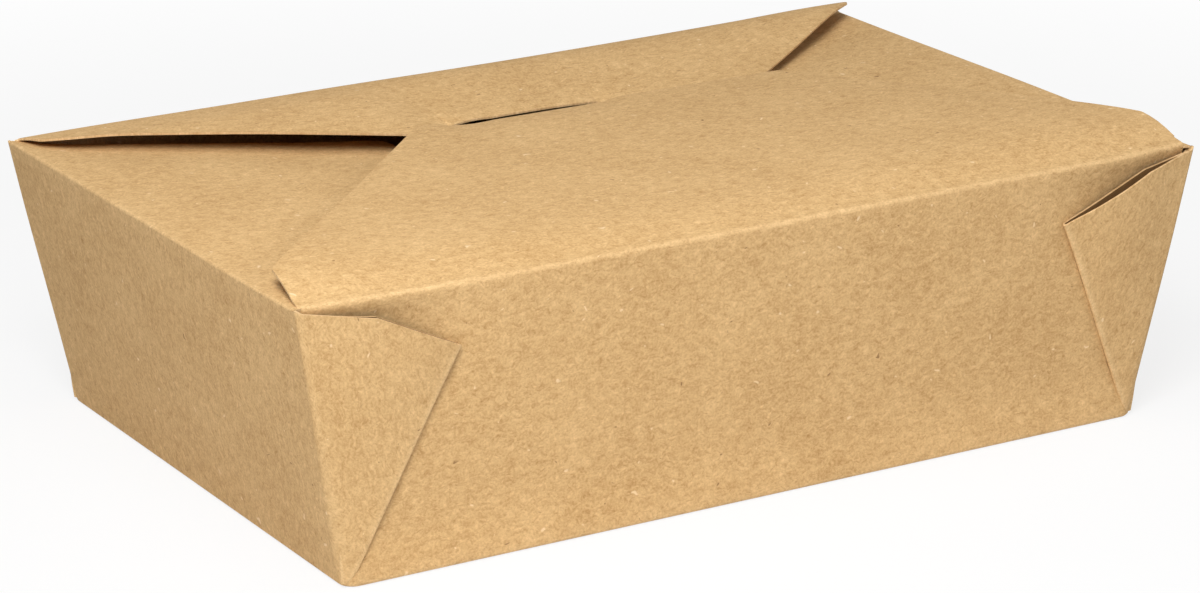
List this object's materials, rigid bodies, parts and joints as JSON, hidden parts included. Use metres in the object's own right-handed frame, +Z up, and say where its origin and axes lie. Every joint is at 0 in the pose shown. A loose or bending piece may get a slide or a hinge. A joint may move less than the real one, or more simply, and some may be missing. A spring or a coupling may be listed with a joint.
{
  "type": "folding takeaway food box",
  "caption": "Folded kraft board takeaway box with leaning walls, folded corner webs, tucked end and back flaps, and a front flap whose tongue locks in a slit.",
  "frame": {"origin": "middle of the base, on the surface that the box stands on", "axes": "+X along the long walls to the right, -Y out of the front wall, +Z up"},
  "size_m": [0.2194, 0.1408, 0.0651],
  "materials": {
    "kraft_board": "uncoated brown kraft paperboard, matt, with fine fibres and specks",
    "kraft_board_flap": "uncoated brown kraft paperboard, matt, with fine fibres and specks"
  },
  "bodies": {
    "tray": {"tray": "kraft_board"},
    "front_flap": {"front_flap": "kraft_board_flap"}
  },
  "joints": [
    {"name": "front_flap_fold", "type": "hinge", "parent": "tray", "child": "front_flap", "pos_m": [0, -0.06926, 0.062], "axis": [1, 0, 0], "range_deg": [0, 180]}
  ]
}
